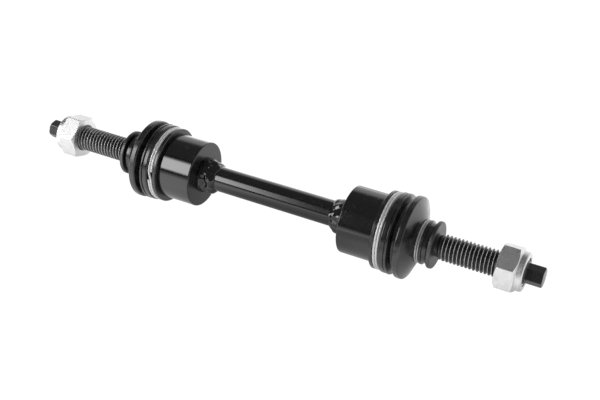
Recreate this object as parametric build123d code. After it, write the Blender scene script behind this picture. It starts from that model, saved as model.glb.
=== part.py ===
from build123d import *
import math
import os

# Drop link of an anti-roll bar: a straight rod with a ball joint at each end, studs in line with the rod.
# Millimetres. +X runs along the rod towards the right joint, +Z is up, the origin is the middle of the rod.
# Both joints are the same pieces. Stations are distances from the origin along the link, outwards, and
# each piece of a joint is drawn for the right end and turned half round +Z for the left one.

# Rod and weld
rod_diameter = 12.0
rod_length = 77.0
rod_end_chamfer = 0.8
weld_length = 8.6
weld_foot_diameter = 16.8
weld_crown = 0.7

# Housing: a turned cup, closed towards the rod, its rim rolled over the seat retainer
housing_diameter = 31.6
housing_base = 3.0
housing_edge_radius = 0.7
housing_bore_diameter = 25.0
boot_seat_diameter = 29.8
boot_seat_length = 7.9
boot_groove_diameter = 28.7
boot_groove_width = 3.1
boot_groove_setback = 1.7
rim_thickness = 1.4
rim_opening_diameter = 22.8
rim_roll_radius = 1.3

# Ball seat and its retainer
seat_floor = 0.8
seat_grip = 5.4
seat_reach = 6.0
seat_slot_count = 8
seat_slot_width = 1.2
seat_slot_depth = 8.0
seat_hole_diameter = 5.0
retainer_thickness = 1.5
retainer_opening_diameter = 22.4

# Ball stud
ball_diameter = 20.0
ball_flat_distance = 9.0
neck_diameter = 11.3
neck_waist_diameter = 10.7
neck_waist_distance = 11.0
boot_journal_diameter = 16.0
boot_journal_length = 5.6
collar_distance = 26.1
collar_diameter = 21.6
collar_thickness = 2.5
collar_edge_radius = 0.5
thread_diameter = 12.0
thread_length = 40.5
relief_diameter = 10.2
relief_width = 2.1
relief_root_radius = 0.5
thread_end_chamfer = 1.1
tip_across_flats = 8.0
tip_length = 7.5
tip_chamfer = 0.6
parting_groove_width = 0.6
parting_groove_depth = 0.2

# Boot, outside first
lip_diameter = 36.4
lip_width = 2.9
lip_edge_radius = 0.6
clamp_groove_diameter = 33.9
clamp_groove_width = 3.4
first_rib_diameter = 37.3
first_rib_width = 2.8
rib_valley_diameter = 36.0
rib_valley_width = 0.7
second_rib_diameter = 37.5
second_rib_width = 1.1
deep_groove_diameter = 29.4
deep_groove_width = 2.1
outer_rib_diameter = 38.2
outer_rib_width = 1.9
cone_foot_diameter = 20.4
boot_wall = 1.5
boot_tail_diameter = 18.5
boot_tail_bead_diameter = 20.6
boot_tail_bead_width = 1.3
boot_tail_end_width = 1.4
boot_edge_radius = 0.35

# Wire rings, each opening the angle in degrees between its two ends
clamp_wire_diameter = 1.5
clamp_wire_opening = 14.3
neck_wire_diameter = 0.8
neck_wire_opening = 20.0
wire_gap = 0.03

# Lock nut
nut_across_flats = 19.0
nut_height = 12.0
nut_hexagon_height = 9.2
nut_collar_diameter = 17.6
nut_collar_edge_radius = 1.1
nut_chamfer_degrees = 30.0
nut_chamfer_diameter = 18.6
nut_countersink_diameter = 13.4
nut_distance = 28.3
insert_diameter = 15.6
insert_height = 2.7
insert_cover = 0.7
insert_mouth_diameter = 14.0

# Clearances
running_gap = 0.05
touch_gap = 0.02
rubber_gap = 0.3

# Turns about +X of what isn't round, from +Z towards -Y, in degrees
nut_turns = {"left": 7.5, "right": -1.6}
tip_turns = {"left": 34.7, "right": 30.7}
clamp_wire_starts = {"left": 85.7, "right": -78.0}
neck_wire_starts = {"left": 200.0, "right": 160.0}

# Stations, outwards from the middle of the rod
housing_face = rod_length / 2
cavity_floor = housing_face + housing_base
seat_back = cavity_floor + running_gap
ball_centre = seat_back + seat_floor + running_gap + ball_diameter / 2
seat_front = ball_centre + seat_reach
retainer_back = seat_front + running_gap
rim_back = retainer_back + retainer_thickness + touch_gap
housing_end = rim_back + rim_thickness
boot_shoulder = housing_end - boot_seat_length
boot_groove_end = housing_end - boot_groove_setback
boot_groove_start = boot_groove_end - boot_groove_width
collar_inner = ball_centre + collar_distance
collar_outer = collar_inner + collar_thickness
journal_start = collar_inner - boot_journal_length
thread_start = collar_outer + relief_width
thread_end = collar_outer + thread_length
tip_end = thread_end + tip_length
nut_face = collar_outer + nut_distance
nut_end = nut_face + nut_height
insert_end = nut_end - insert_cover
insert_start = insert_end - insert_height
boot_start = boot_shoulder + touch_gap
boot_end = collar_inner - rubber_gap

# Radii used in more than one outline
rod_radius = rod_diameter / 2
ball_radius = ball_diameter / 2
bore_radius = housing_bore_diameter / 2
boot_seat_radius = boot_seat_diameter / 2
boot_groove_radius = boot_groove_diameter / 2
journal_radius = boot_journal_diameter / 2
thread_radius = thread_diameter / 2
tail_radius = boot_tail_diameter / 2
clamp_groove_radius = clamp_groove_diameter / 2


def turned_piece(edges):
    """A solid turned about the link's axis from a closed outline in the XY plane."""
    return revolve(make_face(edges), Axis.X)


def turned(*corners):
    """A turned solid through (station, radius) corners, where a third number rounds the corner."""
    return turned_piece(rounded_outline([corner if len(corner) == 3 else (*corner, 0) for corner in corners]))


def rounded_outline(corners):
    """Lines and arcs of a closed outline, each arc no longer than its two sides leave room for."""
    points = [Vector(station, radius) for station, radius, _ in corners]
    lines_from = []
    lines_to = []
    edges = []
    for index, (corner, (_, _, rounding)) in enumerate(zip(points, corners)):
        before = points[index - 1]
        after = points[(index + 1) % len(points)]
        if not rounding:
            lines_from.append(corner)
            lines_to.append(corner)
            continue
        backwards = (before - corner).normalized()
        forwards = (after - corner).normalized()
        half_angle = math.radians(backwards.get_angle(forwards)) / 2
        shorter_side = min((before - corner).length, (after - corner).length)
        reach = min(rounding / math.tan(half_angle), 0.49 * shorter_side)
        radius = reach * math.tan(half_angle)
        middle = corner + (backwards + forwards).normalized() * (radius / math.sin(half_angle) - radius)
        lines_to.append(corner + backwards * reach)
        lines_from.append(corner + forwards * reach)
        edges.append(ThreePointArc(lines_to[-1], middle, lines_from[-1]))
    for index, start in enumerate(lines_from):
        edges.append(Line(start, lines_to[(index + 1) % len(points)]))
    return edges


def sphere_radius_at(radius, distance):
    """Radius of a sphere's section at a distance from its centre."""
    return math.sqrt(radius**2 - distance**2)


def make_rod():
    rod = Rot(0, 90, 0) * Cylinder(rod_radius, rod_length - 2 * touch_gap)
    return chamfer(rod.edges().filter_by(GeomType.CIRCLE), rod_end_chamfer)


def make_weld_bead():
    """The bead fills the corner between the rod and the housing's closed face."""
    inner_radius = rod_radius + touch_gap
    toe = (housing_face - weld_length, inner_radius)
    foot = (housing_face - touch_gap, weld_foot_diameter / 2)
    root = (foot[0], inner_radius)
    middle = ((toe[0] + foot[0]) / 2, (toe[1] + foot[1]) / 2 + weld_crown)
    toe_top = (toe[0] + weld_crown / 2, toe[1] + weld_crown / 2)
    crown = ThreePointArc(toe_top, middle, foot)
    return turned_piece([Line(toe, toe_top), crown, Line(foot, root), Line(root, toe)])


def make_housing():
    outer_radius = housing_diameter / 2
    opening = rim_opening_diameter / 2
    return turned(
        (housing_face, 0),
        (housing_face, outer_radius, housing_edge_radius),
        (boot_shoulder, outer_radius, housing_edge_radius / 2),
        (boot_shoulder, boot_seat_radius),
        (boot_groove_start, boot_seat_radius),
        (boot_groove_start, boot_groove_radius),
        (boot_groove_end, boot_groove_radius),
        (boot_groove_end, boot_seat_radius),
        (housing_end, boot_seat_radius, rim_roll_radius),
        (housing_end, opening, rim_roll_radius / 3),
        (rim_back, opening),
        (rim_back, bore_radius),
        (cavity_floor, bore_radius),
        (cavity_floor, 0),
    )


def make_seat_retainer():
    return turned(
        (retainer_back, retainer_opening_diameter / 2),
        (retainer_back, bore_radius - touch_gap),
        (retainer_back + retainer_thickness, bore_radius - touch_gap),
        (retainer_back + retainer_thickness, retainer_opening_diameter / 2),
    )


def make_ball_seat():
    """A cup round the ball, past its middle, with slots that let it snap over the ball."""
    hollow_radius = ball_radius + running_gap
    outer_radius = bore_radius - running_gap
    mouth_radius = sphere_radius_at(hollow_radius, seat_grip)
    mouth_flare = mouth_radius + seat_reach - seat_grip
    cup = turned(
        (seat_back, 0), (seat_back, outer_radius), (seat_front, outer_radius), (seat_front, 0)
    )
    flare = turned(
        (ball_centre + seat_grip, 0),
        (ball_centre + seat_grip, mouth_radius),
        (seat_front, mouth_flare),
        (seat_front, 0),
    )
    hollow = Pos(ball_centre, 0, 0) * Sphere(hollow_radius)
    grease_hole = Pos(seat_back, 0, 0) * Rot(0, 90, 0) * Cylinder(seat_hole_diameter / 2, 3 * seat_floor)
    slot = Pos(seat_front - seat_slot_depth / 2, 0, outer_radius) * Box(
        seat_slot_depth, seat_slot_width, 2 * outer_radius
    )
    slots = [Rot(360 * i / seat_slot_count, 0, 0) * slot for i in range(seat_slot_count)]
    return cup - hollow - flare - grease_hole - slots


def make_ball_stud(side):
    """Ball, waisted neck, journal for the boot, collar, shank and the hexagonal tip that a key holds."""
    neck_radius = neck_diameter / 2
    neck_root = ball_centre + sphere_radius_at(ball_radius, neck_radius)
    waist = (ball_centre + neck_waist_distance, neck_waist_diameter / 2)
    flat_station = ball_centre - ball_flat_distance
    flat_corner = (flat_station, sphere_radius_at(ball_radius, ball_flat_distance))
    groove_end = nut_face - touch_gap
    groove_start = groove_end - parting_groove_width
    groove_radius = thread_radius - parting_groove_depth
    relief_radius = relief_diameter / 2
    root_rise = relief_root_radius * (1 - math.sqrt(0.5))
    root_start = (collar_outer, relief_radius + relief_root_radius)
    root_end = (collar_outer + relief_root_radius, relief_radius)
    flare_end = (journal_start, journal_radius)
    flare_middle = ((waist[0] + 2 * flare_end[0]) / 3, (2 * waist[1] + flare_end[1]) / 3)
    outline = [
        Line((flat_station, 0), flat_corner),
        ThreePointArc(flat_corner, (ball_centre, ball_radius), (neck_root, neck_radius)),
        Line((neck_root, neck_radius), waist),
        Bezier(waist, (flare_middle[0], waist[1]), (flare_middle[0], flare_end[1]), flare_end),
        Polyline(
            flare_end,
            (collar_inner, journal_radius),
            (collar_inner, collar_diameter / 2),
            (collar_outer, collar_diameter / 2),
            root_start,
        ),
        ThreePointArc(root_start, (collar_outer + root_rise, relief_radius + root_rise), root_end),
        Polyline(
            root_end,
            (thread_start, relief_radius),
            (thread_start, thread_radius),
            (groove_start, thread_radius),
            (groove_start, groove_radius),
            (groove_end, groove_radius),
            (groove_end, thread_radius),
            (thread_end - thread_end_chamfer, thread_radius),
            (thread_end, thread_radius - thread_end_chamfer),
            (thread_end, 0),
            (flat_station, 0),
        ),
    ]
    stud = turned_piece(outline)
    collar_rims = stud.edges().filter_by(GeomType.CIRCLE).group_by(SortBy.RADIUS)[-1]
    return fillet(collar_rims, collar_edge_radius) + make_hexagon_tip(side)


def make_hexagon_tip(side):
    corner_radius = tip_across_flats / math.sqrt(3)
    inside = thread_end - thread_end_chamfer
    hexagon = Pos(inside, 0, 0) * along_x(extrude(RegularPolygon(corner_radius, 6), tip_end - inside))
    chamfered = turned(
        (inside, 0),
        (inside, corner_radius),
        (tip_end - tip_chamfer, corner_radius),
        (tip_end, corner_radius - tip_chamfer),
        (tip_end, 0),
    )
    return Rot(drawn_turn(side, tip_turns), 0, 0) * (hexagon & chamfered)


def along_x(shape):
    """Turns a shape drawn up +Z to run along +X, with what pointed along +X straight up."""
    return Rot(0, 90, 0) * Rot(0, 0, 180) * shape


def drawn_turn(side, turns):
    """The turn about +X that a piece is drawn with, so that it has the stated one at its own end."""
    return turns[side] if side == "right" else -turns[side]


def make_boot():
    """Rubber bellows from the housing's end to the stud's collar, thicker where the rings grip it."""
    groove_start = boot_start + lip_width
    groove_end = groove_start + clamp_groove_width
    valley_start = groove_end + first_rib_width
    valley_end = valley_start + rib_valley_width
    second_rib_end = valley_end + second_rib_width
    outer_rib_start = second_rib_end + deep_groove_width
    outer_rib_end = outer_rib_start + outer_rib_width
    tail_bead_start = boot_end - boot_tail_end_width - boot_tail_bead_width
    tail_bead_end = boot_end - boot_tail_end_width
    cone_end = tail_bead_start - neck_ring_width()
    lip_radius = lip_diameter / 2
    edge = boot_edge_radius
    outside = [
        (boot_start, boot_seat_radius + touch_gap),
        (boot_start, lip_radius, lip_edge_radius),
        (groove_start, lip_radius, lip_edge_radius),
        (groove_start, clamp_groove_radius, edge),
        (groove_end, clamp_groove_radius, edge),
        (groove_end, first_rib_diameter / 2, 2 * edge),
        (valley_start, first_rib_diameter / 2, 2 * edge),
        ((valley_start + valley_end) / 2, rib_valley_diameter / 2, edge),
        (valley_end, second_rib_diameter / 2, edge),
        (second_rib_end, second_rib_diameter / 2, edge),
        (second_rib_end + edge, deep_groove_diameter / 2, 2 * edge),
        (outer_rib_start - edge, deep_groove_diameter / 2, 2 * edge),
        (outer_rib_start, outer_rib_diameter / 2, edge),
        (outer_rib_end, outer_rib_diameter / 2, edge),
        (cone_end, cone_foot_diameter / 2, edge),
        (cone_end, tail_radius),
        (tail_bead_start, tail_radius, edge),
        (tail_bead_start, boot_tail_bead_diameter / 2, edge),
        (tail_bead_end, boot_tail_bead_diameter / 2, edge),
        (tail_bead_end, tail_radius, edge),
        (boot_end, tail_radius, edge),
    ]
    rib_hollow_start = housing_end + rubber_gap
    groove_wall_radius = deep_groove_diameter / 2 - boot_wall
    cone_slope = (outer_rib_diameter - cone_foot_diameter) / 2 / (cone_end - outer_rib_end)
    cone_shift = boot_wall * math.sqrt(1 + 1 / cone_slope**2)
    tail_bore = journal_radius + rubber_gap
    hollow_end = cone_end - (tail_bore + boot_wall - cone_foot_diameter / 2) / cone_slope - cone_shift / 2
    inside = [
        (boot_end, tail_bore),
        (hollow_end, tail_bore, edge),
        (outer_rib_end - cone_shift / 2, outer_rib_diameter / 2 - boot_wall, edge),
        (outer_rib_start + boot_wall / 2, outer_rib_diameter / 2 - boot_wall, edge),
        (outer_rib_start - edge + boot_wall / 4, groove_wall_radius, edge),
        (second_rib_end + edge - boot_wall / 4, groove_wall_radius, edge),
        (second_rib_end - boot_wall / 2, first_rib_diameter / 2 - boot_wall, edge),
        (rib_hollow_start, first_rib_diameter / 2 - boot_wall, edge),
        (rib_hollow_start, boot_seat_radius + touch_gap),
        (boot_groove_end - touch_gap, boot_seat_radius + touch_gap),
        (boot_groove_end - touch_gap, boot_groove_radius + touch_gap),
        (boot_groove_start + touch_gap, boot_groove_radius + touch_gap),
        (boot_groove_start + touch_gap, boot_seat_radius + touch_gap),
    ]
    return turned(*outside, *inside)


def neck_ring_width():
    """Room that the wound neck ring takes along the boot."""
    return 2 * neck_wire_diameter + 3 * wire_gap


def wound_ring(wire_diameter, gap_degrees, inner_radius):
    """Round wire wound in two flat turns about +X, which step from one to the other where both ends stop short.

    The middle of the ring is the origin, and the first turn, on the -X side, starts straight up.
    """
    radius = inner_radius + wire_diameter / 2
    lane = (wire_diameter + wire_gap) / 2
    turn = 360 - gap_degrees
    rising = Plane(origin=(-lane, 0, 0), x_dir=(0, 0, 1), z_dir=(1, 0, 0))
    falling = Plane(origin=(lane, 0, 0), x_dir=(0, 0, 1), z_dir=(1, 0, 0))
    first = rising * CenterArc((0, 0, 0), radius, 0, turn)
    second = falling * CenterArc((0, 0, 0), radius, 0, turn)
    halfway = Rot(-gap_degrees / 2, 0, 0) * Vertex(0, 0, radius)
    step = Spline(first @ 1, halfway.center(), second @ 0, tangents=(first % 1, second % 0))
    section = Plane(origin=first @ 0, z_dir=first % 0) * Circle(wire_diameter / 2)
    return sweep(section, path=Wire([first.edge(), step.edge(), second.edge()]))


def make_clamp_ring(side):
    ring = wound_ring(clamp_wire_diameter, clamp_wire_opening, clamp_groove_radius + touch_gap)
    station = boot_start + lip_width + clamp_groove_width / 2
    return Pos(outwards(side) * station, 0, 0) * Rot(clamp_wire_starts[side], 0, 0) * ring


def make_neck_ring(side):
    ring = wound_ring(neck_wire_diameter, neck_wire_opening, tail_radius + running_gap)
    station = boot_end - boot_tail_end_width - boot_tail_bead_width - neck_ring_width() / 2
    return Pos(outwards(side) * station, 0, 0) * Rot(neck_wire_starts[side], 0, 0) * ring


def outwards(side):
    return 1 if side == "right" else -1


def make_lock_nut(side):
    """Hexagon chamfered at both ends, with a round collar closed in over the nylon insert."""
    corner_radius = nut_across_flats / math.sqrt(3)
    bore = thread_radius + running_gap
    chamfer_radius = nut_chamfer_diameter / 2
    chamfer_rise = math.tan(math.radians(nut_chamfer_degrees))
    collar_radius = nut_collar_diameter / 2
    hexagon_end = nut_face + nut_hexagon_height
    hexagon = Pos(nut_face, 0, 0) * along_x(extrude(RegularPolygon(corner_radius, 6), nut_hexagon_height))
    envelope = turned(
        (nut_face, 0),
        (nut_face, chamfer_radius),
        (nut_face + (corner_radius - chamfer_radius) * chamfer_rise, corner_radius),
        (hexagon_end - (corner_radius - collar_radius) * chamfer_rise, corner_radius),
        (hexagon_end, collar_radius),
        (hexagon_end, 0),
    )
    collar = turned(
        (hexagon_end - nut_collar_edge_radius, 0),
        (hexagon_end - nut_collar_edge_radius, collar_radius),
        (nut_end, collar_radius, nut_collar_edge_radius),
        (nut_end, 0),
    )
    recess_radius = insert_diameter / 2 + running_gap
    mouth_radius = insert_mouth_diameter / 2
    countersink_radius = nut_countersink_diameter / 2
    hollow = turned(
        (nut_face, 0),
        (nut_face, countersink_radius),
        (nut_face + countersink_radius - bore, bore),
        (insert_start - running_gap, bore),
        (insert_start - running_gap, recess_radius),
        (insert_end + running_gap, recess_radius),
        (insert_end + running_gap, mouth_radius),
        (nut_end, mouth_radius),
        (nut_end, 0),
    )
    nut = (hexagon & envelope) + collar - hollow
    return Rot(drawn_turn(side, nut_turns), 0, 0) * nut


def make_nut_insert():
    return turned(
        (insert_start, thread_radius + running_gap),
        (insert_start, insert_diameter / 2),
        (insert_end, insert_diameter / 2),
        (insert_end, thread_radius + running_gap),
    )


def at_end(side, piece):
    """Places a piece drawn for the right end at the end that is asked for."""
    return piece if side == "right" else Rot(0, 0, 180) * piece


def build_link():
    """Every node of the link, by name."""
    nodes = {"rod": make_rod()}
    for side in ("left", "right"):
        nodes[f"{side}_weld_bead"] = at_end(side, make_weld_bead())
        nodes[f"{side}_housing"] = at_end(side, make_housing())
        nodes[f"{side}_seat_retainer"] = at_end(side, make_seat_retainer())
        nodes[f"{side}_ball_seat"] = at_end(side, make_ball_seat())
        nodes[f"{side}_ball_stud"] = at_end(side, make_ball_stud(side))
        nodes[f"{side}_boot"] = at_end(side, make_boot())
        nodes[f"{side}_boot_clamp_ring"] = make_clamp_ring(side)
        nodes[f"{side}_neck_ring"] = make_neck_ring(side)
        nodes[f"{side}_lock_nut"] = at_end(side, make_lock_nut(side))
        nodes[f"{side}_nut_insert"] = at_end(side, make_nut_insert())
    return nodes


os.makedirs("parts", exist_ok=True)
for node_name, solid in build_link().items():
    export_step(solid, f"parts/{node_name}.step")
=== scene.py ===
"""Drop link of an anti-roll bar, dressed around its frame.

Blender works in metres here, in the frame of the part: +X along the rod, +Z up. The sizes of the pieces are given in
millimetres and scaled once, where a mesh is made. Every piece of a joint is drawn for the end at +X, where a station
is the distance from the middle of the rod, and is turned half round +Z for the other end. Angles about the axis are
measured from straight up towards the viewer.
"""

import logging
import math
from collections.abc import Callable, Mapping, Sequence
from dataclasses import dataclass
from enum import Enum
from itertools import accumulate
from typing import Any

import bmesh
import bpy
from mathutils import Matrix, Vector, noise


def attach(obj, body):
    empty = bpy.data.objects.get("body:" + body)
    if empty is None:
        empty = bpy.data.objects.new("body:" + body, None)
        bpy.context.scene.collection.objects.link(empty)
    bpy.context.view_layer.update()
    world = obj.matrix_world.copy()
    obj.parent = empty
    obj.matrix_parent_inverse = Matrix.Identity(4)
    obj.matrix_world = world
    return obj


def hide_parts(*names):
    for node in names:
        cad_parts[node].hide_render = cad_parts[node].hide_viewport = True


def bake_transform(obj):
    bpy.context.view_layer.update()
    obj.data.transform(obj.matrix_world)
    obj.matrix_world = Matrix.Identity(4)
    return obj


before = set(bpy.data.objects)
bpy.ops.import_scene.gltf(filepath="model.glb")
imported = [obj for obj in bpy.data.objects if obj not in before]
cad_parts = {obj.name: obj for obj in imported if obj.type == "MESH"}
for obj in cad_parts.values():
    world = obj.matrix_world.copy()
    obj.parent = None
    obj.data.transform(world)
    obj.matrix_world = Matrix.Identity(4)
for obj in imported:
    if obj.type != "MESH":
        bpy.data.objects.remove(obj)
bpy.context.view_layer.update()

LOG = logging.getLogger("drop_link")
MM = 0.001
FULL_TURN = 2 * math.pi

Point = tuple[float, float]
Place = tuple[float, float, float]
Colour = tuple[float, float, float]


def neutral(level: float) -> Colour:
    """A grey, from 0 for black to 1 for white."""
    return (level, level, level)


class End(Enum):
    """The two ends of the link, by the side of the photograph that they are on."""

    LEFT = "left"
    RIGHT = "right"

    @property
    def outwards(self) -> int:
        """Direction of the end along +X."""
        return 1 if self is End.RIGHT else -1

    def node(self, piece: str) -> str:
        """Name of this end's piece."""
        return f"{self.value}_{piece}"


# ---- Shader graphs


def maths(operation: str, swapped: bool = False) -> Callable[..., "Signal"]:
    """Makes a method of Signal that adds one Math node.

    Args:
        operation: The node's operation.
        swapped: Whether the signal itself is the last operand.

    Returns:
        The method, which takes the other operands.
    """

    def method(self: "Signal", *others: "Signal | float") -> "Signal":
        """Adds the node."""
        operands = (*others, self) if swapped else (self, *others)
        return self.graph.node("Math", dict(enumerate(operands)), operation=operation)

    return method


class Signal:
    """A socket's value in an expression, where each operation adds its Math node."""

    def __init__(self, graph: "Graph", socket: bpy.types.NodeSocket) -> None:
        """Wraps an output socket of a graph."""
        self.graph = graph
        self.socket = socket

    __add__ = __radd__ = maths("ADD")
    __sub__ = maths("SUBTRACT")
    __rsub__ = maths("SUBTRACT", swapped=True)
    __mul__ = __rmul__ = maths("MULTIPLY")
    __truediv__ = maths("DIVIDE")
    __pow__ = maths("POWER")
    __abs__ = maths("ABSOLUTE")
    larger = maths("MAXIMUM")
    angle_with = maths("ARCTAN2")

    def rise(self, low: float, high: float) -> "Signal":
        """A smooth mask from 0 to 1.

        Args:
            low: The value that gives 0.
            high: The value that gives 1, which may be the smaller of the two.

        Returns:
            The mask.
        """
        if low > high:
            return 1 - self.rise(high, low)
        sockets = {"Value": self, "From Min": low, "From Max": high, "To Min": 0.0, "To Max": 1.0}
        return self.graph.node("MapRange", sockets, interpolation_type="SMOOTHSTEP")

    def between(self, start: float, end: float, edge: float) -> "Signal":
        """A mask of 1 between two values, with a soft edge inside each."""
        return self.rise(start, start + edge) * self.rise(end, end - edge)


@dataclass(frozen=True)
class Grain:
    """A soft noise: its features to a metre, its octaves and distortion, and the range that is masked from it.

    Marks that run along or round the piece have a stretch: how many there are to a metre along the axis, to a radian
    round it and to a metre out from it.
    """

    per_metre: float = 1.0
    detail: float = 2.0
    distortion: float = 0.0
    mask: Point | None = None
    stretch: Place | None = None


class Graph:
    """The nodes of one material or world."""

    def __init__(self, owner: bpy.types.Material | bpy.types.World) -> None:
        """Empties the node tree of a material or a world and starts in it."""
        owner.use_nodes = True
        self.tree = owner.node_tree
        self.tree.nodes.clear()

    def node(
        self, kind: str, sockets: Mapping[str | int, Any] | None = None, output: str | int = 0, **settings: Any
    ) -> Signal | None:
        """Adds any shader node.

        Args:
            kind: The node's type.
            sockets: Values or links of its inputs, by name or number.
            output: The output that is wanted.
            settings: Its properties, set first.

        Returns:
            That output.
        """
        added = self.tree.nodes.new("ShaderNode" + kind)
        for name, value in settings.items():
            setattr(added, name, value)
        for name, value in (sockets or {}).items():
            if isinstance(value, Signal):
                self.tree.links.new(value.socket, added.inputs[name])
            elif isinstance(value, tuple) and added.inputs[name].type == "RGBA":
                added.inputs[name].default_value = (*value, 1.0)
            else:
                added.inputs[name].default_value = value
        return Signal(self, added.outputs[output]) if added.outputs else None

    def axes(self, where: Signal) -> list[Signal]:
        """The X, Y and Z of a place."""
        return [self.node("SeparateXYZ", {0: where}, axis) for axis in "XYZ"]

    def mix(self, factor: Signal | float, first: Signal | Colour, second: Signal | Colour) -> Signal:
        """Mixes two colours, of which a factor of 0 gives the first."""
        return self.node("Mix", {0: factor, 6: first, 7: second}, 2, data_type="RGBA")


class Skin(Graph):
    """A material's nodes, and where its surface is: its distance from the rod's middle, radius and angle."""

    def __init__(self, name: str) -> None:
        """Starts a new material and reads the place.

        Args:
            name: The material's name.
        """
        self.material = bpy.data.materials.new(name)
        super().__init__(self.material)
        self.place = self.node("TexCoord", output="Object")
        x, y, z = self.axes(self.place)
        self.station = abs(x)
        self.radius = (y * y + z * z) ** 0.5
        self.angle = y.angle_with(z)

    def cloud(self, grain: Grain) -> Signal:
        """Soft noise between 0 and 1.

        Args:
            grain: The noise.

        Returns:
            The noise, masked where the grain has a mask.
        """
        where = self.place
        if grain.stretch:
            along, round_, out = grain.stretch
            unrolled = {"X": self.station * along, "Y": self.angle * round_, "Z": self.radius * out}
            where = self.node("CombineXYZ", unrolled)
        shape = {"Scale": grain.per_metre, "Detail": grain.detail, "Distortion": grain.distortion}
        value = self.node("TexNoise", {"Vector": where, **shape})
        return value.rise(*grain.mask) if grain.mask else value

    def bump(self, height: Signal, depth: float, under: Signal | None = None) -> Signal:
        """A relief of the surface.

        Args:
            height: Its height, from 0 to 1.
            depth: What a height of 1 is, in metres.
            under: A coarser relief that it lies on.

        Returns:
            The normal.
        """
        sockets = {"Height": height, "Distance": depth, "Strength": 1.0}
        if under is not None:
            sockets["Normal"] = under
        return self.node("Bump", sockets)

    def surface(
        self, colour: Signal, roughness: Signal, normal: Signal, metallic: Signal | float = 0.0, ior: float = 1.5
    ) -> None:
        """Adds the surface shader and the output.

        Args:
            colour: Its colour.
            roughness: Its roughness.
            normal: Its relief.
            metallic: How far it is a metal.
            ior: Its index of refraction.
        """
        look = {"Base Color": colour, "Metallic": metallic, "Roughness": roughness, "IOR": ior, "Normal": normal}
        self.node("OutputMaterial", {"Surface": self.node("BsdfPrincipled", look)})


# ---- Finishes

MIXED: dict[str, bpy.types.Material] = {}


@dataclass(frozen=True)
class Finish:
    """A finish that any number of pieces can wear.

    Covers and shares weigh one layer against the next. What the layers add to the roughness is taken off it again by
    "smoother", so that it stays the mean.
    """

    name: str

    def paint(self, skin: Skin) -> None:
        """Adds the finish's nodes to a material's."""
        raise NotImplementedError

    def material(self) -> bpy.types.Material:
        """The material, made on first use.

        Returns:
            The material.
        """
        if self.name not in MIXED:
            skin = Skin(self.name)
            self.paint(skin)
            MIXED[self.name] = skin.material
        return MIXED[self.name]


@dataclass(frozen=True)
class DipCoat(Finish):
    """Gloss black coat from an electric dip bath, with its fine peel, faint dust and handling marks.

    A turned face that lies square to the axis is duller than the rest: dull_face has the stations that it is between.
    """

    roughness: float = 0.15
    peel_depth: float = 2.2e-6
    sag_depth: float = 1.2e-5
    dust: float = 0.9
    dull_face: Point = (0.0, 0.0)
    dull_edge: float = 0.1
    black: Colour = neutral(0.0035)
    dust_grey: Colour = neutral(0.1)
    peel: Grain = Grain(1500)
    sag: Grain = Grain(110)
    specks: Grain = Grain(2300, 1, 0, (0.69, 0.76))
    patches: Grain = Grain(75, 3, 1.5, (0.5, 0.66))
    rubs: Grain = Grain(1, 3, 0.6, (0.62, 0.7), (260, 9, 0))
    hair: Grain = Grain(1, 2, 1.2, None, (2600, 14, 400))
    hair_width: float = 0.006
    least_specks: float = 0.25
    hair_share: float = 0.55
    rub_share: float = 0.35
    dust_cover: float = 0.7
    dust_roughness: float = 0.3
    sag_roughness: float = 0.07
    peel_roughness: float = 0.03
    dull_roughness: float = 0.13
    smoother: float = 0.05
    ior: float = 1.56

    def paint(self, skin: Skin) -> None:
        """Adds the coat's nodes.

        Args:
            skin: The material's nodes.
        """
        peel, sag = skin.cloud(self.peel), skin.cloud(self.sag)
        specks, patches = skin.cloud(self.specks), skin.cloud(self.patches)
        rubs, hair = skin.cloud(self.rubs), skin.cloud(self.hair)
        hairlines = (1 - abs(hair - 0.5).rise(0.0, self.hair_width)) * patches
        marks = (specks * (self.least_specks + patches)).larger(hairlines * self.hair_share)
        marks = marks.larger(rubs * patches * self.rub_share) * self.dust
        low, high = self.dull_face
        dull = skin.station.between(low * MM, high * MM, self.dull_edge * MM)
        roughness = marks * self.dust_roughness + sag * self.sag_roughness + peel * self.peel_roughness
        roughness = roughness + dull * self.dull_roughness + (self.roughness - self.smoother)
        relief = skin.bump(peel, self.peel_depth, skin.bump(sag, self.sag_depth))
        colour = skin.mix(marks * self.dust_cover, self.black, self.dust_grey)
        skin.surface(colour, roughness, relief, ior=self.ior)


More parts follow.
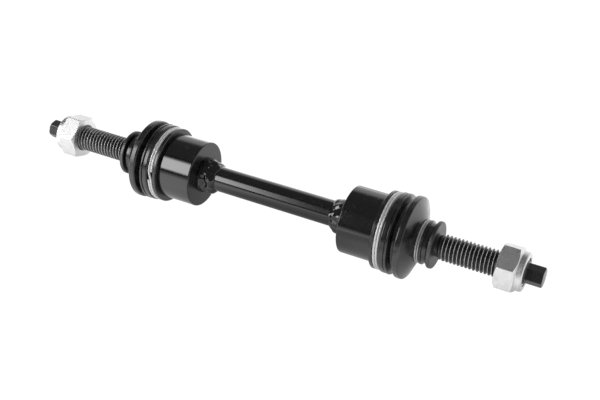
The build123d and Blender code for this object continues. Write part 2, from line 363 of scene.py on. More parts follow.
@dataclass(frozen=True)
class BootRubber(Finish):
    """Moulded black rubber, satin, with bloom and smudges where it was handled."""

    black: Colour = neutral(0.006)
    bloomed: Colour = neutral(0.022)
    smudged: Colour = neutral(0.002)
    dust_grey: Colour = neutral(0.1)
    roughness: float = 0.22
    grain_depth: float = 3e-6
    wave_depth: float = 6e-6
    grain: Grain = Grain(2600, 3)
    wave: Grain = Grain(260, 3, 0.8)
    bloom: Grain = Grain(120, 4, 1.2, (0.42, 0.7))
    smudges: Grain = Grain(330, 2, 2.0, (0.63, 0.7))
    specks: Grain = Grain(3400, 1, 0, (0.74, 0.8))
    smudge_cover: float = 0.7
    dust_cover: float = 0.5
    bloom_roughness: float = 0.14
    grain_roughness: float = 0.08
    smudge_roughness: float = 0.05
    smoother: float = 0.06
    ior: float = 1.52

    def paint(self, skin: Skin) -> None:
        """Adds the rubber's nodes.

        Args:
            skin: The material's nodes.
        """
        grain, wave = skin.cloud(self.grain), skin.cloud(self.wave)
        bloom, smudges = skin.cloud(self.bloom), skin.cloud(self.smudges)
        colour = skin.mix(bloom, self.black, self.bloomed)
        colour = skin.mix(smudges * self.smudge_cover, colour, self.smudged)
        colour = skin.mix(skin.cloud(self.specks) * self.dust_cover, colour, self.dust_grey)
        roughness = bloom * self.bloom_roughness + grain * self.grain_roughness + smudges * self.smudge_roughness
        roughness = roughness + (self.roughness - self.smoother)
        relief = skin.bump(grain, self.grain_depth, skin.bump(wave, self.wave_depth))
        skin.surface(colour, roughness, relief, ior=self.ior)


@dataclass(frozen=True)
class LinedSteel(Finish):
    """Bright steel with the fine lines of a drawing die or a turning tool, as spring wire unless told otherwise."""

    bright: Colour = neutral(0.5)
    dull: Colour = neutral(0.4)
    roughness: float = 0.42
    metallic: float = 0.55
    lines: Grain = Grain(stretch=(9000, 3, 9000))
    line_depth: float = 6e-7
    line_dulling: float = 0.3
    line_roughness: float = 0.1
    spots: Grain = Grain(700, 3, 0, (0.5, 0.72))
    spot_dulling: float = 0.5
    spot_roughness: float = 0.08

    def paint(self, skin: Skin) -> None:
        """Adds the steel's nodes.

        Args:
            skin: The material's nodes.
        """
        lines, spots = skin.cloud(self.lines), skin.cloud(self.spots)
        colour = skin.mix(spots * self.spot_dulling + lines * self.line_dulling, self.bright, self.dull)
        roughness = lines * self.line_roughness + spots * self.spot_roughness + self.roughness
        skin.surface(colour, roughness, skin.bump(lines, self.line_depth), self.metallic)


@dataclass(frozen=True)
class StudSteel(Finish):
    """Phosphated stud: dark flanks, bare rolled crests, a grey collar and a black key end."""

    crest_start: float = 5.88
    crest_full: float = 5.95
    collar_face: Point = (77.9, 81.4)
    collar_edge: float = 0.3
    tip: Point = (121.2, 121.4)
    dark: Colour = neutral(0.085)
    bare: Colour = neutral(0.43)
    grey: Colour = neutral(0.09)
    black: Colour = neutral(0.006)
    fine: Grain = Grain(1900, 3)
    mottle: Grain = Grain(420, 3, 0.8)
    spots: Point = (0.62, 0.74)
    lines: Grain = Grain(stretch=(200, 2, 7000))
    crest_wear: Point = (0.5, 0.62)
    spot_wear: float = 0.16
    collar_cover: Point = (0.3, 0.75)
    fine_depth: float = 3e-6
    line_depth: float = 2e-6
    roughness: float = 0.36
    mottle_roughness: float = 0.12
    fine_roughness: float = 0.04
    line_roughness: float = 0.05
    crest_roughness: float = 0.14
    tip_gloss: float = 0.18
    crest_matt: float = 0.4

    def paint(self, skin: Skin) -> None:
        """Adds the steel's nodes.

        Args:
            skin: The material's nodes.
        """
        fine, mottle = skin.cloud(self.fine), skin.cloud(self.mottle)
        lines = skin.cloud(self.lines)
        tip = skin.station.rise(*(edge * MM for edge in self.tip))
        start, end = self.collar_face
        collar = skin.station.between(start * MM, end * MM, self.collar_edge * MM)
        crest = skin.radius.rise(self.crest_start * MM, self.crest_full * MM) * (1 - collar) * (1 - tip)
        uneven, least = self.crest_wear
        worn = (crest * (mottle * uneven + least)).larger(mottle.rise(*self.spots) * self.spot_wear)
        colour = skin.mix(worn, self.dark, self.bare)
        uneven, least = self.collar_cover
        colour = skin.mix(collar * (fine * uneven + least), colour, self.grey)
        colour = skin.mix(tip, colour, self.black)
        roughness = mottle * self.mottle_roughness + fine * self.fine_roughness + lines * self.line_roughness
        roughness = roughness + crest * self.crest_roughness + self.roughness - tip * self.tip_gloss
        relief = skin.bump(fine, self.fine_depth, skin.bump(lines, self.line_depth))
        skin.surface(colour, roughness, relief, 1 - tip - crest * self.crest_matt)


@dataclass(frozen=True)
class ZincPlate(Finish):
    """Bright zinc on the lock nuts, tumbled soft, with a mottled sheen and a few knocks."""

    bright: Colour = neutral(0.6)
    grey: Colour = neutral(0.52)
    knocked: Colour = neutral(0.4)
    roughness: float = 0.42
    mottle: Grain = Grain(330, 4, 1.0)
    patches: Point = (0.35, 0.75)
    fine: Grain = Grain(2200, 3)
    knocks: Grain = Grain(700, 1, 0.5, (0.68, 0.76))
    patch_cover: float = 0.75
    knock_cover: float = 0.35
    mottle_roughness: float = 0.1
    fine_roughness: float = 0.02
    knock_roughness: float = 0.06
    smoother: float = 0.05
    fine_depth: float = 5e-7
    mottle_depth: float = 5e-6
    knock_share: float = 0.4

    def paint(self, skin: Skin) -> None:
        """Adds the plating's nodes.

        Args:
            skin: The material's nodes.
        """
        mottle, fine = skin.cloud(self.mottle), skin.cloud(self.fine)
        knocks = skin.cloud(self.knocks)
        colour = skin.mix(mottle.rise(*self.patches) * self.patch_cover, self.bright, self.grey)
        colour = skin.mix(knocks * self.knock_cover, colour, self.knocked)
        roughness = mottle * self.mottle_roughness + fine * self.fine_roughness + knocks * self.knock_roughness
        roughness = roughness + (self.roughness - self.smoother)
        waves = skin.bump(mottle - knocks * self.knock_share, self.mottle_depth)
        relief = skin.bump(fine, self.fine_depth, waves)
        skin.surface(colour, roughness, relief, 1.0)


@dataclass(frozen=True)
class Moulded(Finish):
    """Moulded plastic of an inner piece, faintly mottled and greased."""

    pale: Colour = (0.78, 0.76, 0.7)
    dark: Colour = (0.62, 0.59, 0.52)
    roughness: float = 0.34
    grease: Grain = Grain(180, 3, 1.0, (0.45, 0.7))
    grease_gloss: float = 0.12
    fine: Grain = Grain(2400)
    fine_roughness: float = 0.12
    fine_depth: float = 3e-6

    def paint(self, skin: Skin) -> None:
        """Adds the plastic's nodes.

        Args:
            skin: The material's nodes.
        """
        grease, fine = skin.cloud(self.grease), skin.cloud(self.fine)
        roughness = fine * self.fine_roughness - grease * self.grease_gloss + self.roughness
        skin.surface(skin.mix(grease, self.pale, self.dark), roughness, skin.bump(fine, self.fine_depth))


# ---- Turned meshes


TINY = 1e-6
STRAIGHT = 1e-4
LONGEST_ARC = 0.49  # of the shorter side of its corner
PARTS_PER_METRE = 1e8  # corners of a mesh that are in the same part are one corner

# A corner of a turned outline in mm, as station, radius and rounding (sharp without one), or a straight run along the
# axis, as start, end, radius, rounding at the start and rounding at the end (as at the start without one).
Row = tuple[float, ...]


def corners_of(outline: Sequence[Row]) -> list[Row]:
    """Breaks the straight runs of an outline into their two corners.

    Args:
        outline: The rows of the outline, in order.

    Returns:
        (station, radius, rounding) corners.
    """
    corners: list[Row] = []
    for row in outline:
        if len(row) > 3:
            start, end, radius, first, *last = row
            corners += [(start, radius, first), (end, radius, *(last or [first]))]
        else:
            corners.append((*row, 0.0)[:3])
    return corners


def rounded(outline: Sequence[Row], steps: int = 6) -> list[Point]:
    """Points of a closed outline with its corners rounded.

    Args:
        outline: The rows of the outline, in order.
        steps: How many straight steps an arc has.

    Returns:
        (station, radius) points, always as many for the same corners, whatever their places.
    """
    points: list[Point] = []
    corners = corners_of(outline)
    for index, (station, radius, rounding) in enumerate(corners):
        here = Vector((station, radius))
        if not rounding:
            points.append(tuple(here))
            continue
        back = Vector(corners[index - 1][:2]) - here
        on = Vector(corners[(index + 1) % len(corners)][:2]) - here
        half = back.angle(on, math.pi) / 2
        reach = min(rounding / max(math.tan(half), TINY), LONGEST_ARC * min(back.length, on.length))
        radius = reach * math.tan(half)
        bisector = back.normalized() + on.normalized()
        if bisector.length < STRAIGHT or radius < TINY:
            points += [tuple(here)] * (steps + 1)
            continue
        centre = here + bisector.normalized() * (radius / math.sin(half))
        start = here + back.normalized() * reach - centre
        sweep = math.pi - 2 * half
        turning = math.copysign(1.0, back.x * on.y - back.y * on.x)
        for step in range(steps + 1):
            points.append(tuple(centre + Matrix.Rotation(-turning * sweep * step / steps, 2) @ start))
    return points


@dataclass(frozen=True)
class Lead:
    """The rows of a column that wind on by a pitch with each turn, and how many rows make a pitch."""

    first: int
    last: int
    rows: int

    def after_a_turn(self, row: int) -> int:
        """Row of the first column that a row of the last column meets.

        Args:
            row: A row's number.

        Returns:
            The number of the row that it joins.
        """
        if not self.first <= row < self.last:
            return row
        return max(self.first, min(row + self.rows, self.last - 1))


def even_angles(count: int) -> list[float]:
    """Angles of evenly spread columns, in radians."""
    return [FULL_TURN * step / count for step in range(count)]


def turned_mesh(
    name: str,
    column: Callable[[float], Sequence[Point]],
    angles: Sequence[float],
    end: End = End.RIGHT,
    lead: Lead | None = None,
) -> bpy.types.Mesh:
    """A closed mesh of columns set round the link's axis.

    Args:
        name: The mesh's name.
        column: Gives the (station, radius) points of the column at an angle, in millimetres.
        angles: The columns' angles.
        end: The end of the link that it is for.
        lead: The rows that wind on, where the piece has a thread.

    Returns:
        The mesh.
    """
    columns = [column(angle) for angle in angles]
    rows = len(columns[0])
    numbers: dict[tuple[int, int, int], int] = {}
    corners: list[Place] = []
    grid: list[list[int]] = []
    for angle, points in zip(angles, columns):
        line = []
        for station, radius in points:
            x, y, z = station, -radius * math.sin(angle), radius * math.cos(angle)
            spot = (end.outwards * x * MM, end.outwards * y * MM, z * MM)
            key = tuple(round(value * PARTS_PER_METRE) for value in spot)
            if key not in numbers:
                numbers[key] = len(corners)
                corners.append(spot)
            line.append(numbers[key])
        grid.append(line)
    faces = []
    for index, line in enumerate(grid):
        closing = index == len(grid) - 1
        beside = grid[0] if closing else grid[index + 1]
        for row in range(rows):
            after = (row + 1) % rows
            if closing and lead:
                ring = [line[row], line[after], beside[lead.after_a_turn(after)], beside[lead.after_a_turn(row)]]
            else:
                ring = [line[row], line[after], beside[after], beside[row]]
            face = [number for place, number in enumerate(ring) if number != ring[place - 1]]
            if len(set(face)) == len(face) > 2:
                faces.append(face)
    mesh = bpy.data.meshes.new(name)
    mesh.from_pydata(corners, [], faces)
    mesh.validate()
    return mesh


def finished_piece(name: str, mesh: bpy.types.Mesh, finish: Finish, sharp_degrees: float = 38.0) -> bpy.types.Object:
    """A piece from a mesh, with its normals facing out, its sharp edges kept and its finish on.

    Args:
        name: The piece's name.
        mesh: Its mesh.
        finish: Its finish.
        sharp_degrees: Edges that turn by more than this stay sharp.

    Returns:
        The piece, linked to the scene.
    """
    shape = bmesh.new()
    shape.from_mesh(mesh)
    bmesh.ops.recalc_face_normals(shape, faces=shape.faces)
    shape.to_mesh(mesh)
    shape.free()
    mesh.name = name
    mesh.shade_smooth()
    mesh.set_sharp_from_angle(angle=math.radians(sharp_degrees))
    mesh.materials.append(finish.material())
    piece = bpy.data.objects.new(name, mesh)
    bpy.context.scene.collection.objects.link(piece)
    weighting = piece.modifiers.new("even_normals", "WEIGHTED_NORMAL")
    weighting.keep_sharp = True
    LOG.info("%s: %d faces", name, len(mesh.polygons))
    return piece


def turned_piece(
    name: str, outline: Sequence[Row], finish: Finish, end: End = End.RIGHT, columns: int = 160, steps: int = 6
) -> bpy.types.Object:
    """A piece that is round all over.

    Args:
        name: Its name.
        outline: The rows of its outline.
        finish: Its finish.
        end: The end of the link that it is for.
        columns: How many columns it has.
        steps: How many straight steps an arc of the outline has.

    Returns:
        The piece.
    """
    points = rounded(outline, steps)
    return finished_piece(name, turned_mesh(name, lambda _: points, even_angles(columns), end), finish)


def stands_for(piece: bpy.types.Object, body: str, slot: str, *nodes: str) -> None:
    """Puts a piece on its body in the place of its nodes.

    Args:
        piece: The piece.
        body: The body that it moves with.
        slot: The record's material slot of the piece, which is not used.
        nodes: The nodes that it stands for.
    """
    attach(piece, body)
    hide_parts(*nodes)


# ---- The link's own pieces


@dataclass(frozen=True)
class Stations:
    """Where the pieces of a joint meet, in millimetres from the middle of the rod."""

    housing_face: float = 38.5
    ball_centre: float = 52.4
    boot_shoulder: float = 55.3
    housing_end: float = 61.37
    boot_start: float = 55.32
    boot_end: float = 78.7
    collar_inner: float = 79.1
    collar_outer: float = 81.0
    thread_start: float = 83.1
    nut_face: float = 109.3
    nut_end: float = 121.3
    thread_end: float = 121.5
    tip_end: float = 129.0


@dataclass(frozen=True)
class EndPiece:
    """What every piece of a joint knows: its end of the link, and where the pieces meet."""

    end: End
    stations: Stations


@dataclass(frozen=True)
class Rod:
    """The drawn bar between the two housings."""

    diameter: float = 12.0
    length: float = 77.0
    end_chamfer: float = 0.8
    edge_rounding: float = 0.3
    end_gap: float = 0.02

    def build(self) -> None:
        """Builds and dresses the bar."""
        radius, half = self.diameter / 2, self.length / 2 - self.end_gap
        outline = [
            (-half, 0),
            (-half, radius - self.end_chamfer),
            (self.end_chamfer - half, half - self.end_chamfer, radius, self.edge_rounding),
            (half, radius - self.end_chamfer),
            (half, 0),
        ]
        piece = turned_piece("rod_bar", outline, DipCoat("rod_coat", roughness=0.15, dust=0.55), columns=128)
        stands_for(piece, "link_body", "e_coated_bar", "rod")


@dataclass(frozen=True)
class WeldBead(EndPiece):
    """The lumpy run of weld round the rod, against the housing's closed face."""

    rod_radius: float = 6.02
    length: float = 8.6
    face_gap: float = 0.02
    foot_radius: float = 8.4
    foot_power: float = 1.6
    toe_step: float = 0.55
    toe_steepness: float = 6.0
    toe_wander: float = 0.9
    wander_size: float = 1.3
    wander_seed: float = 4.0
    crown: float = 0.7
    crown_power: float = 0.8
    lump_height: float = 1.2
    lump_size: float = 3.4
    lump_seed: float = 7.0
    fine_share: float = 0.2
    fine_scale: float = 2.4
    lumps_start: float = 0.06
    lumps_rate: float = 1.15
    lumps_end: float = 0.86
    lumps_past_end: float = 0.35
    ripple_height: float = 0.03
    ripple_lean: float = 5.0
    ripples: int = 17
    columns: int = 144
    rows: int = 36

    def build(self) -> None:
        """Builds and dresses the bead."""
        name = self.end.node("weld")
        mesh = turned_mesh(name, self.column, even_angles(self.columns), self.end)
        coat = DipCoat("weld_coat", roughness=0.12, dust=0.2, sag_depth=3e-5)
        piece = finished_piece(name, mesh, coat, sharp_degrees=70)
        stands_for(piece, "link_body", "e_coated_weld", self.end.node("weld_bead"))

    def column(self, angle: float) -> list[Point]:
        """The bead's outline at one angle.

        Args:
            angle: The column's angle.

        Returns:
            Its (station, radius) points.
        """
        face = self.stations.housing_face - self.face_gap
        across, up = math.sin(angle), math.cos(angle)
        place = (across * self.wander_size, up * self.wander_size, self.end.outwards * self.wander_seed)
        wander = noise.noise(Vector(place))
        toe = face - self.length + self.toe_wander * wander
        points = [(toe, self.rod_radius)]
        for row in range(self.rows + 1):
            share = row / self.rows
            station = toe + (face - toe) * share
            body = self.rod_radius + self.toe_step * min(1.0, self.toe_steepness * share) ** 0.5
            body += (self.foot_radius - self.rod_radius - self.toe_step) * share**self.foot_power
            body += self.crown * math.sin(math.pi * share) ** self.crown_power
            around = Vector((across, up, 0)) * body / self.lump_size
            around.z = station / self.lump_size + self.lump_seed * self.end.outwards
            coarse, fine = noise.noise(around), noise.noise(around * self.fine_scale)
            lump = coarse * (1 - self.fine_share) + fine * self.fine_share
            fade = math.sin(math.pi * min(1.0, share * self.lumps_rate + self.lumps_start)) ** 0.5
            fade = fade if share < self.lumps_end else self.lumps_past_end
            ripple = math.sin(self.ripples * angle + self.ripple_lean * share + 2 * wander)
            points.append((station, body + fade * (self.lump_height * lump + self.ripple_height * ripple)))
        points.append((face, self.rod_radius))
        return points


@dataclass(frozen=True)
class Housing(EndPiece):
    """The turned cup that holds the ball, closed towards the rod and rolled in over its retainer."""

    radius: float = 15.8
    edge_radius: float = 0.6
    boot_seat_radius: float = 14.9
    groove_radius: float = 14.35
    groove_start: float = 56.57
    groove_end: float = 59.67
    bore_radius: float = 12.5
    cavity_floor: float = 41.5
    rim_back: float = 59.97
    rim_opening: float = 11.4
    rim_rounding: float = 0.43
    roll_radius: float = 1.3
    shoulder_rounding: float = 0.35
    groove_rounding: float = 0.15
    floor_rounding: float = 0.4
    dull_margins: Point = (0.2, 0.15)
    columns: int = 224
    retainer_steel: Finish = LinedSteel(
        "turned_ring",
        bright=neutral(0.55),
        dull=neutral(0.35),
        roughness=0.22,
        metallic=1.0,
        lines=Grain(stretch=(9000, 2, 9000)),
        line_depth=4e-6,
        line_roughness=0.18,
        spots=Grain(260, 3, 0, (0.45, 0.7)),
        spot_dulling=0.6,
        spot_roughness=0.1,
    )

    def build(self) -> None:
        """Builds the cup and dresses its inner ring and the ball's seat."""
        at = self.stations
        outline = [
            (at.housing_face, 0),
            (at.housing_face, at.boot_shoulder, self.radius, self.edge_radius, self.shoulder_rounding),
            (at.boot_shoulder, self.groove_start, self.boot_seat_radius, 0.0, self.groove_rounding),
            (self.groove_start, self.groove_end, self.groove_radius, self.groove_rounding),
            (self.groove_end, at.housing_end, self.boot_seat_radius, self.groove_rounding, self.roll_radius),
            (at.housing_end, self.rim_back, self.rim_opening, self.rim_rounding, 0.0),
            (self.rim_back, self.cavity_floor, self.bore_radius, 0.0, self.floor_rounding),
            (self.cavity_floor, 0),
        ]
        face = (at.housing_face - self.dull_margins[0], at.housing_face + self.dull_margins[1])
        finish = DipCoat("housing_coat", roughness=0.13, dull_face=face)
        piece = turned_piece(self.end.node("cup"), outline, finish, self.end, self.columns, steps=8)
        stands_for(piece, "link_body", "e_coated_housing", self.end.node("housing"))
        dress(self.end.node("seat_retainer"), self.retainer_steel)
        dress(self.end.node("ball_seat"), Moulded("moulded_acetal"))


def dress(node: str, finish: Finish) -> None:
    """Puts a finish on a node of the frame that stays as it is.

    Args:
        node: The node's name.
        finish: Its finish.
    """
    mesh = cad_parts[node].data
    mesh.materials.clear()
    mesh.materials.append(finish.material())
    LOG.info("%s: %s", node, finish.name)


@dataclass(frozen=True)
class Boot(EndPiece):
    """The rubber bellows: a lip and a clamp groove, a doubled rib, a deep groove, a rib with a cone, and a neck."""

    seat_radius: float = 14.92
    lip_radius: float = 18.2
    lip_width: float = 1.7
    lip_bevel: Point = (0.3, 0.45)
    bevel_rounding: float = 0.3
    lip_rounding: Point = (0.3, 0.25)
    clamp_groove_radius: float = 16.95
    clamp_groove_width: float = 2.85
    clamp_groove_rounding: float = 0.3
    first_rib_radius: float = 18.65
    first_rib_width: float = 2.55
    first_rib_rounding: Point = (1.25, 0.85)
    valley_radius: float = 17.8
    valley_width: float = 0.45
    valley_rounding: float = 0.12
    second_rib_radius: float = 18.75
    second_rib_width: float = 1.05
    second_rib_rounding: Point = (0.3, 0.5)
    deep_groove_radius: float = 14.7
    deep_groove_width: float = 2.75
    deep_groove_rounding: float = 0.7
    outer_rib_radius: float = 19.1
    outer_rib_width: float = 3.05
    outer_rib_rounding: Point = (1.0, 0.8)
    cone_foot_radius: float = 10.2
    cone_foot_rounding: float = 0.5
    cone_end: float = 73.3
    neck_groove_radius: float = 8.95
    neck_groove_rounding: float = 0.2
    neck_radius: float = 9.25
    neck_rounding: Point = (0.3, 0.35)
    neck_bore: float = 8.3
    neck_bore_rounding: float = 0.15
    bead_radius: float = 10.15
    bead_rounding: float = 0.45
    bead_start: float = 75.4
    bead_end: float = 76.6
    wall: float = 1.5
    flank: float = 0.35
    housing_groove: Place = (56.59, 59.65, 14.37)
    hollow_start: float = 61.67
    inner_rounding: float = 0.5
    rib_insets: Point = (1.0, 0.8)
    groove_inset: float = 0.1
    ridge_inset: float = 0.75
    bend: Point = (60.5, 73.0)
    columns: int = 192

    def build(self) -> None:
        """Builds the boot in the place of the frame's boot."""
        at = self.stations
        ribs = (self.first_rib_width, self.valley_width, self.second_rib_width)
        widths = (self.lip_width, self.clamp_groove_width, *ribs, self.deep_groove_width, self.outer_rib_width)
        _, groove, first, valley, second, deep, outer, cone = accumulate(widths, initial=at.boot_start)
        seat_start, seat_end, seat_groove = self.housing_groove
        soft = self.inner_rounding
        outline = [
            (at.boot_start, self.seat_radius),
            (at.boot_start, self.lip_radius - self.lip_bevel[1], self.bevel_rounding),
            (at.boot_start + self.lip_bevel[0], groove, self.lip_radius, *self.lip_rounding),
            (groove, first, self.clamp_groove_radius, self.clamp_groove_rounding),
            (first, valley, self.first_rib_radius, *self.first_rib_rounding),
            ((valley + second) / 2, self.valley_radius, self.valley_rounding),
            (second, deep, self.second_rib_radius, *self.second_rib_rounding),
            (deep + self.flank, outer - self.flank, self.deep_groove_radius, self.deep_groove_rounding),
            (outer, cone, self.outer_rib_radius, *self.outer_rib_rounding),
            (self.cone_end, self.cone_foot_radius, self.cone_foot_rounding),
            (self.cone_end, self.bead_start, self.neck_groove_radius, self.neck_groove_rounding),
            (self.bead_start, self.bead_end, self.bead_radius, self.bead_rounding),
            (self.bead_end, at.boot_end, self.neck_radius, *self.neck_rounding),
            (at.boot_end, self.cone_end - self.wall, self.neck_bore, self.neck_bore_rounding, soft),
            (cone - self.rib_insets[0], outer + self.rib_insets[1], self.outer_rib_radius - self.wall, soft),
            (outer - self.groove_inset, deep + self.groove_inset, self.deep_groove_radius - self.wall, soft),
            (deep - self.ridge_inset, self.hollow_start, self.first_rib_radius - self.wall, soft),
            (self.hollow_start, seat_end, self.seat_radius, 0.0),
            (seat_end, seat_start, seat_groove, 0.0),
            (seat_start, self.seat_radius),
        ]
        name = self.end.node("bellows")
        piece = turned_piece(name, outline, BootRubber("bellows_rubber"), self.end, self.columns, steps=7)
        start, stop = ((self.end.outwards * station * MM, 0.0, 0.0) for station in self.bend)
        self.end.node("ball_seat")
        self.end.node("boot_neck")
        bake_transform(piece)
        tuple(start)
        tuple(stop)
        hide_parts(self.end.node("boot"))


@dataclass(frozen=True)
class Coil:
    """Sizes of a round wire wound in two flat turns, which step over where both ends stop short."""

    middle: float
    inner_radius: float
    wire: float
    opening: float
    gap: float = 0.03
    sides: int = 18
    steps: int = 300
    end_length: float = 0.0012
    end_thickness: float = 0.82
    straightness: float = 0.7
    finish: Finish = LinedSteel("drawn_wire")


@dataclass(frozen=True)
class WireRing:
    """A coil on its groove of the boot."""

    end: End
    name: str
    body: str
    node: str
    coil: Coil
    start: float
    nearby: float = 1e-4

    def path(self, share: float) -> Vector:
        """A point of the wire's middle line.

        Args:
            share: How far along the wire it is, from 0 to 1.

        Returns:
            The point, in millimetres.
        """
        coil = self.coil
        lane = (coil.wire + coil.gap) / 2
        flat = 360 - coil.opening
        turned = share * (360 + flat)
        step = min(1.0, max(0.0, (turned - flat) / coil.opening))
        angle = math.radians(self.start + turned)
        radius = coil.inner_radius + coil.wire / 2
        eased = step * step * (3 - 2 * step)
        across = -lane + 2 * lane * (coil.straightness * step + (1 - coil.straightness) * eased)
        station = self.end.outwards * coil.middle + across
        return Vector((station, -radius * math.sin(angle), radius * math.cos(angle)))

    def build(self) -> None:
        """Builds and dresses the ring, its cut ends slightly rounded."""
        coil = self.coil
        shape = bmesh.new()
        rings = []
        inner = (step / coil.steps for step in range(1, coil.steps))
        shares = [0.0, coil.end_length, *inner, 1 - coil.end_length, 1.0]
        for share in shares:
            middle = self.path(share)
            ahead, behind = min(1.0, share + self.nearby), max(0.0, share - self.nearby)
            along = (self.path(ahead) - self.path(behind)).normalized()
            out = Vector((0, middle.y, middle.z)).normalized()
            side = along.cross(out).normalized()
            thickness = coil.wire / 2 * (coil.end_thickness if share in (0.0, 1.0) else 1.0)
            ring = []
            for angle in even_angles(coil.sides):
                spot = middle + (out * math.cos(angle) + side * math.sin(angle)) * thickness
                ring.append(shape.verts.new(spot * MM))
            rings.append(ring)
        for before, after in zip(rings, rings[1:]):
            for corner in range(coil.sides):
                following = (corner + 1) % coil.sides
                shape.faces.new((before[corner], before[following], after[following], after[corner]))
        shape.faces.new(rings[0])
        shape.faces.new(rings[-1])
        name = self.end.node(self.name)
        mesh = bpy.data.meshes.new(name)
        shape.to_mesh(mesh)
        shape.free()
        piece = finished_piece(name, mesh, coil.finish)
        stands_for(piece, self.body, "ring_wire", self.node)


@dataclass(frozen=True)
class Hexagon:
    """The plan of a hexagon with its six edges rounded."""

    across_flats: float
    edge_radius: float
    turn: float

    def radius(self, angle: float) -> float:
        """Distance of the outline from the axis.

        Args:
            angle: The direction, in radians.

        Returns:
            The distance, in millimetres.
        """
        sixth = math.pi / 3
        from_corner = abs((angle - math.radians(self.turn) + sixth / 2) % sixth - sixth / 2)
        from_flat = sixth / 2 - from_corner
        apothem = self.across_flats / 2
        inner = apothem - self.edge_radius
        if from_flat <= math.atan(inner * math.tan(sixth / 2) / apothem):
            return apothem / math.cos(from_flat)
        centre = inner / math.cos(sixth / 2)
        return centre * math.cos(from_corner) + math.sqrt(
            self.edge_radius**2 - (centre * math.sin(from_corner)) ** 2
        )

    def angles(self, offsets: Sequence[float]) -> list[float]:
        """Angles of columns that crowd at the edges.

        Args:
            offsets: Degrees from each edge, from 0 up to 30, which are used on both its sides.

        Returns:
            The columns' angles from 0 to a full turn.
        """
        signed = [side * offset for offset in offsets for side in (-1, 1)]
        degrees = {round((self.turn + 60 * edge + offset) % 360, 6) for edge in range(6) for offset in signed}
        return [math.radians(value) for value in sorted(degrees)]


@dataclass(frozen=True)
class Thread:
    """Right-hand metric thread in millimetres, its crests cut flat and its roots rounded."""

    pitch: float = 1.75
    crest_radius: float = 6.0
    depth: float = 1.05
    crest_share: float = 0.0625
    crest_edge: tuple[Point, Point] = ((0.06, 0.006), (0.085, 0.06))
    flank_foot: Point = (0.012, 0.9)
    root_edge: Point = (0.55, 0.975)
    groove_floor: float = 0.07
    flank_degrees: float = 30.0
    spare_turns: int = 3
    turns_before: int = 2

    def ridge(self) -> list[Point]:
        """One ridge of the stud's thread.

        Returns:
            (share of the pitch from the crest's middle, depth below the crest) pairs.
        """
        slope = 1 / math.tan(math.radians(self.flank_degrees))
        full = self.crest_share + self.depth / slope / self.pitch
        foot = (full - self.flank_foot[0], self.depth * self.flank_foot[1])
        root = (0.5 - (0.5 - full) * self.root_edge[0], self.depth * self.root_edge[1])
        flank = [*self.crest_edge, foot, root]
        return [(-0.5, self.depth), *((-share, depth) for share, depth in reversed(flank)), (0.0, 0.0), *flank]

    def rows_of_groove(self, clearance: float, crest_width: float) -> list[Point]:
        """One groove of the nut's thread, which the stud's ridge runs in.

        Args:
            clearance: Play between the nut's thread and the stud's.
            crest_width: Width of the nut's own crest, as a share of the pitch.

        Returns:
            (share of the pitch from the groove's middle, radius) pairs.
        """
        slope = 1 / math.tan(math.radians(self.flank_degrees))
        half, floor = 0.5 - crest_width / 2, self.groove_floor
        outer = self.crest_radius + clearance
        inner = outer - (half - floor) * self.pitch * slope
        return [(-half, inner), (-floor, outer), (floor, outer), (half, inner)]


